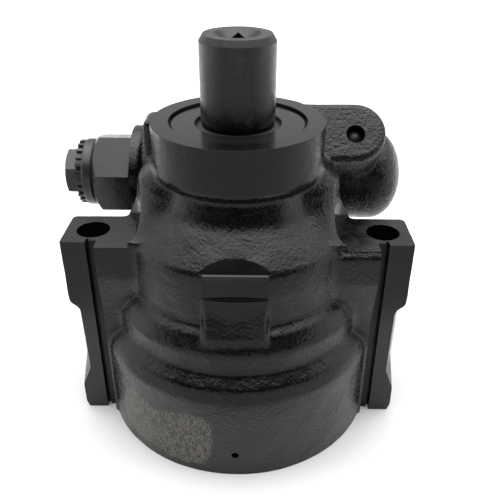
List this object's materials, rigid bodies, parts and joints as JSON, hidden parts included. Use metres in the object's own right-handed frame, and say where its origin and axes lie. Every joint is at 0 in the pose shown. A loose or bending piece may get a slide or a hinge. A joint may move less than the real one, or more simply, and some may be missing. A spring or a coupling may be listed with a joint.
{
  "type": "power steering pump",
  "caption": "Vane-type power steering pump: stepped cast housing with mounting ears, long drive shaft, valve boss behind with a plugged outlet fitting.",
  "frame": {"origin": "centre of the hub's machined top face, on the shaft's axis", "axes": "+Z out along the shaft, +X right seen from the front, +Y to the back, where the valve boss is; the rear rim is at the bottom"},
  "size_m": [0.1044, 0.0833, 0.1068],
  "materials": {
    "cast": "black paint over sand-cast iron, semi-gloss and grainy",
    "shaft": "machined steel, painted black, worn along one side",
    "seal_case": "pressed steel, painted black",
    "rubber": "matt",
    "fitting": "machined steel, painted black",
    "plug": "plastic with a coat of black paint",
    "steel": "ground",
    "spring": "drawn wire",
    "bronze": "turned",
    "iron": "machined"
  },
  "bodies": {
    "housing": {"pump_housing": "cast", "shaft_seal_case": "seal_case", "shaft_seal_lip": "rubber", "seal_garter_spring": "spring", "shaft_bushing": "bronze", "thrust_plate": "iron", "cam_ring": "iron", "dowel_pins": "steel", "pressure_plate": "iron", "pressure_plate_o_ring": "rubber", "pressure_spring": "spring", "end_cover": "steel", "end_cover_o_ring": "rubber", "retaining_ring": "spring", "outlet_fitting": "fitting", "fitting_o_ring": "rubber", "passage_ball": "steel", "flow_spring": "spring"},
    "shaft": {"drive_shaft": "shaft", "pump_rotor": "steel", "rotor_clip": "spring"},
    "vane_1": {"pump_vane_1": "steel"},
    "vane_2": {"pump_vane_2": "steel"},
    "vane_3": {"pump_vane_3": "steel"},
    "vane_4": {"pump_vane_4": "steel"},
    "vane_5": {"pump_vane_5": "steel"},
    "vane_6": {"pump_vane_6": "steel"},
    "vane_7": {"pump_vane_7": "steel"},
    "vane_8": {"pump_vane_8": "steel"},
    "vane_9": {"pump_vane_9": "steel"},
    "vane_10": {"pump_vane_10": "steel"},
    "spool": {"flow_spool": "steel", "relief_seat": "steel", "relief_spring": "spring"},
    "relief": {"relief_ball": "steel", "relief_guide": "steel"},
    "plug": {"port_plug": "plug"}
  },
  "joints": [
    {"name": "shaft_turn", "type": "hinge", "parent": "housing", "child": "shaft", "pos_m": [0, 0, 0], "axis": [0, 0, 1], "continuous": true},
    {"name": "vane_1_slide", "type": "slide", "parent": "shaft", "child": "vane_1", "axis": [0.9511, 0.309, 0], "range_m": [-0.0005, 0.000279]},
    {"name": "vane_2_slide", "type": "slide", "parent": "shaft", "child": "vane_2", "axis": [0.5878, 0.809, 0], "range_m": [-0.0005, 0.00168]},
    {"name": "vane_3_slide", "type": "slide", "parent": "shaft", "child": "vane_3", "axis": [0, 1, 0], "range_m": [-0.0005, 0.00254]},
    {"name": "vane_4_slide", "type": "slide", "parent": "shaft", "child": "vane_4", "axis": [-0.5878, 0.809, 0], "range_m": [-0.0005, 0.00168]},
    {"name": "vane_5_slide", "type": "slide", "parent": "shaft", "child": "vane_5", "axis": [-0.9511, 0.309, 0], "range_m": [-0.0005, 0.000279]},
    {"name": "vane_6_slide", "type": "slide", "parent": "shaft", "child": "vane_6", "axis": [-0.9511, -0.309, 0], "range_m": [-0.0005, 0.000279]},
    {"name": "vane_7_slide", "type": "slide", "parent": "shaft", "child": "vane_7", "axis": [-0.5878, -0.809, 0], "range_m": [-0.0005, 0.00168]},
    {"name": "vane_8_slide", "type": "slide", "parent": "shaft", "child": "vane_8", "axis": [0, -1, 0], "range_m": [-0.0005, 0.00254]},
    {"name": "vane_9_slide", "type": "slide", "parent": "shaft", "child": "vane_9", "axis": [0.5878, -0.809, 0], "range_m": [-0.0005, 0.00168]},
    {"name": "vane_10_slide", "type": "slide", "parent": "shaft", "child": "vane_10", "axis": [0.9511, -0.309, 0], "range_m": [-0.0005, 0.000279]},
    {"name": "spool_slide", "type": "slide", "parent": "housing", "child": "spool", "axis": [1, 0, 0], "range_m": [0, 0.008], "stiffness_N_per_m": 6000, "deforming": ["flow_spring"]},
    {"name": "relief_slide", "type": "slide", "parent": "spool", "child": "relief", "axis": [1, 0, 0], "range_m": [0, 0.001], "stiffness_N_per_m": 20000, "deforming": ["relief_spring"]},
    {"name": "plug_pull", "type": "slide", "parent": "housing", "child": "plug", "axis": [-1, 0, 0], "range_m": [0, 0.012]}
  ]
}
